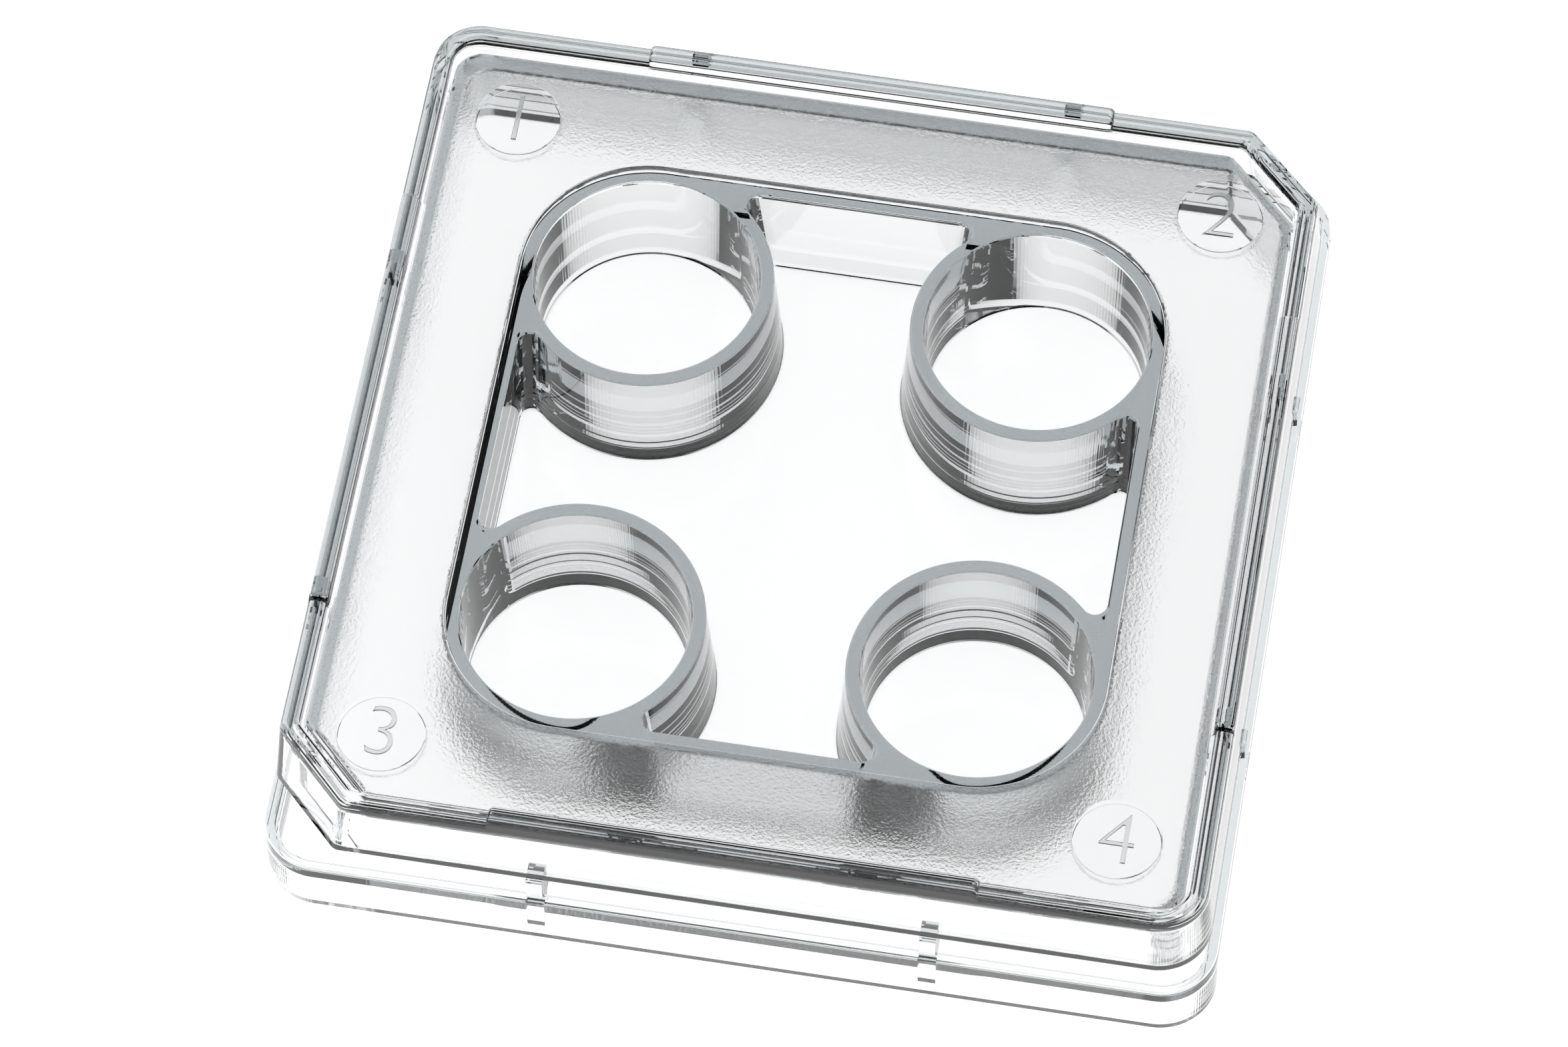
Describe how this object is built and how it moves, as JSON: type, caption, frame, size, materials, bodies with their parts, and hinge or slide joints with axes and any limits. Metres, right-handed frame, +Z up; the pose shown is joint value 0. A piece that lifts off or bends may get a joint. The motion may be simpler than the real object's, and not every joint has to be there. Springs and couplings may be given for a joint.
{
  "type": "four-well dish with lid",
  "caption": "Square clear dish with round wells sunk in a frosted deck, and a vented stacking lid that lifts off.",
  "frame": {"origin": "centre of the square that the foot stands on, at table height", "axes": "+Z up, +Y towards wells 1 and 2, +X towards wells 2 and 4"},
  "size_m": [0.066, 0.066, 0.0136],
  "materials": {
    "clear_dish": "clear polished polystyrene",
    "frosted_deck": "frosted polystyrene",
    "clear_lid": "clear polished polystyrene"
  },
  "bodies": {
    "dish": {"base_flange": "clear_dish", "base_lip": "clear_dish", "body_wall": "clear_dish", "deck": "frosted_deck", "floor_plate": "clear_dish", "foot_skirt": "clear_dish", "lid_rest_back_high": "clear_dish", "lid_rest_back_low": "clear_dish", "lid_rest_front_high": "clear_dish", "lid_rest_front_low": "clear_dish", "lid_rest_left_high": "clear_dish", "lid_rest_left_low": "clear_dish", "lid_rest_right_high": "clear_dish", "lid_rest_right_low": "clear_dish", "number_disc_1": "clear_dish", "number_disc_2": "clear_dish", "number_disc_3": "clear_dish", "number_disc_4": "clear_dish", "pocket_wall_back": "clear_dish", "pocket_wall_front": "clear_dish", "pocket_wall_left": "clear_dish", "pocket_wall_right": "clear_dish", "well_1": "clear_dish", "well_2": "clear_dish", "well_3": "clear_dish", "well_4": "clear_dish"},
    "lid": {"lid_bar_back": "clear_lid", "lid_bar_front": "clear_lid", "lid_bar_left": "clear_lid", "lid_bar_right": "clear_lid", "lid_plate": "clear_lid", "lid_ridge": "clear_lid", "lid_skirt": "clear_lid"}
  },
  "joints": [
    {"name": "lid_lift", "type": "slide", "parent": "dish", "child": "lid", "axis": [0, 0, 1], "range_m": [0, 0.012]}
  ]
}
